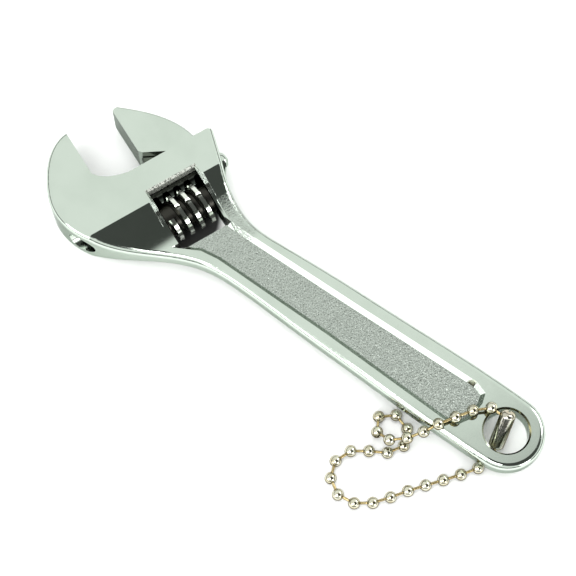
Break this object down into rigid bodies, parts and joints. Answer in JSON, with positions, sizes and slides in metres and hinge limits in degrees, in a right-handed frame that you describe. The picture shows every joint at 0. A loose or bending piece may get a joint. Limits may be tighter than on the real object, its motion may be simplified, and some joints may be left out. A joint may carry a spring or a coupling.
{
  "type": "adjustable wrench",
  "caption": "Pocket adjustable wrench: forged handle with a fixed jaw, a sliding jaw moved by a knurled worm, and a bead chain through the hang hole.",
  "frame": {"origin": "centre of the wrench's outline (without its chain), on the surface that its head lies on", "axes": "+X along the handle from the tail to the head, +Y towards the fixed jaw's side, +Z through the thickness, up from the surface"},
  "size_m": [0.1164, 0.0471, 0.01],
  "materials": {
    "body_chrome": "bright chrome plate",
    "jaw_chrome": "bright chrome plate",
    "worm_chrome": "chrome plate over knurling",
    "pin_steel": "turned steel",
    "spring_steel": "drawn spring wire",
    "bead_nickel": "nickel plate",
    "link_brass": "bright brass wire",
    "connector_nickel": "nickel plate"
  },
  "bodies": {
    "frame": {"wrench_body": "body_chrome", "worm_pin": "pin_steel", "worm_spring": "spring_steel", "chain_bead_01": "bead_nickel", "chain_bead_02": "bead_nickel", "chain_bead_03": "bead_nickel", "chain_bead_04": "bead_nickel", "chain_bead_05": "bead_nickel", "chain_bead_06": "bead_nickel", "chain_bead_07": "bead_nickel", "chain_bead_08": "bead_nickel", "chain_bead_09": "bead_nickel", "chain_bead_10": "bead_nickel", "chain_bead_11": "bead_nickel", "chain_bead_12": "bead_nickel", "chain_bead_13": "bead_nickel", "chain_bead_14": "bead_nickel", "chain_bead_15": "bead_nickel", "chain_bead_16": "bead_nickel", "chain_bead_17": "bead_nickel", "chain_bead_18": "bead_nickel", "chain_bead_19": "bead_nickel", "chain_bead_20": "bead_nickel", "chain_bead_21": "bead_nickel", "chain_bead_22": "bead_nickel", "chain_bead_23": "bead_nickel", "chain_bead_24": "bead_nickel", "chain_bead_25": "bead_nickel", "chain_bead_26": "bead_nickel", "chain_bead_27": "bead_nickel", "chain_bead_28": "bead_nickel", "chain_bead_29": "bead_nickel", "chain_links": "link_brass", "chain_connector": "connector_nickel"},
    "movable_jaw": {"movable_jaw": "jaw_chrome"},
    "worm": {"worm": "worm_chrome"}
  },
  "joints": [
    {"name": "worm_spin", "type": "hinge", "parent": "frame", "child": "worm", "pos_m": [0.02861, -0.00118, 0.005], "axis": [-0.3827, -0.9239, 0], "range_deg": [-360, 1504.8]},
    {"name": "jaw_slide", "type": "slide", "parent": "frame", "child": "movable_jaw", "axis": [-0.3827, -0.9239, 0], "range_m": [-0.01045, 0.0025]}
  ],
  "couplings": [
    {"joint": "worm_spin", "follows": "jaw_slide", "rad_per_m": -2513.3}
  ]
}
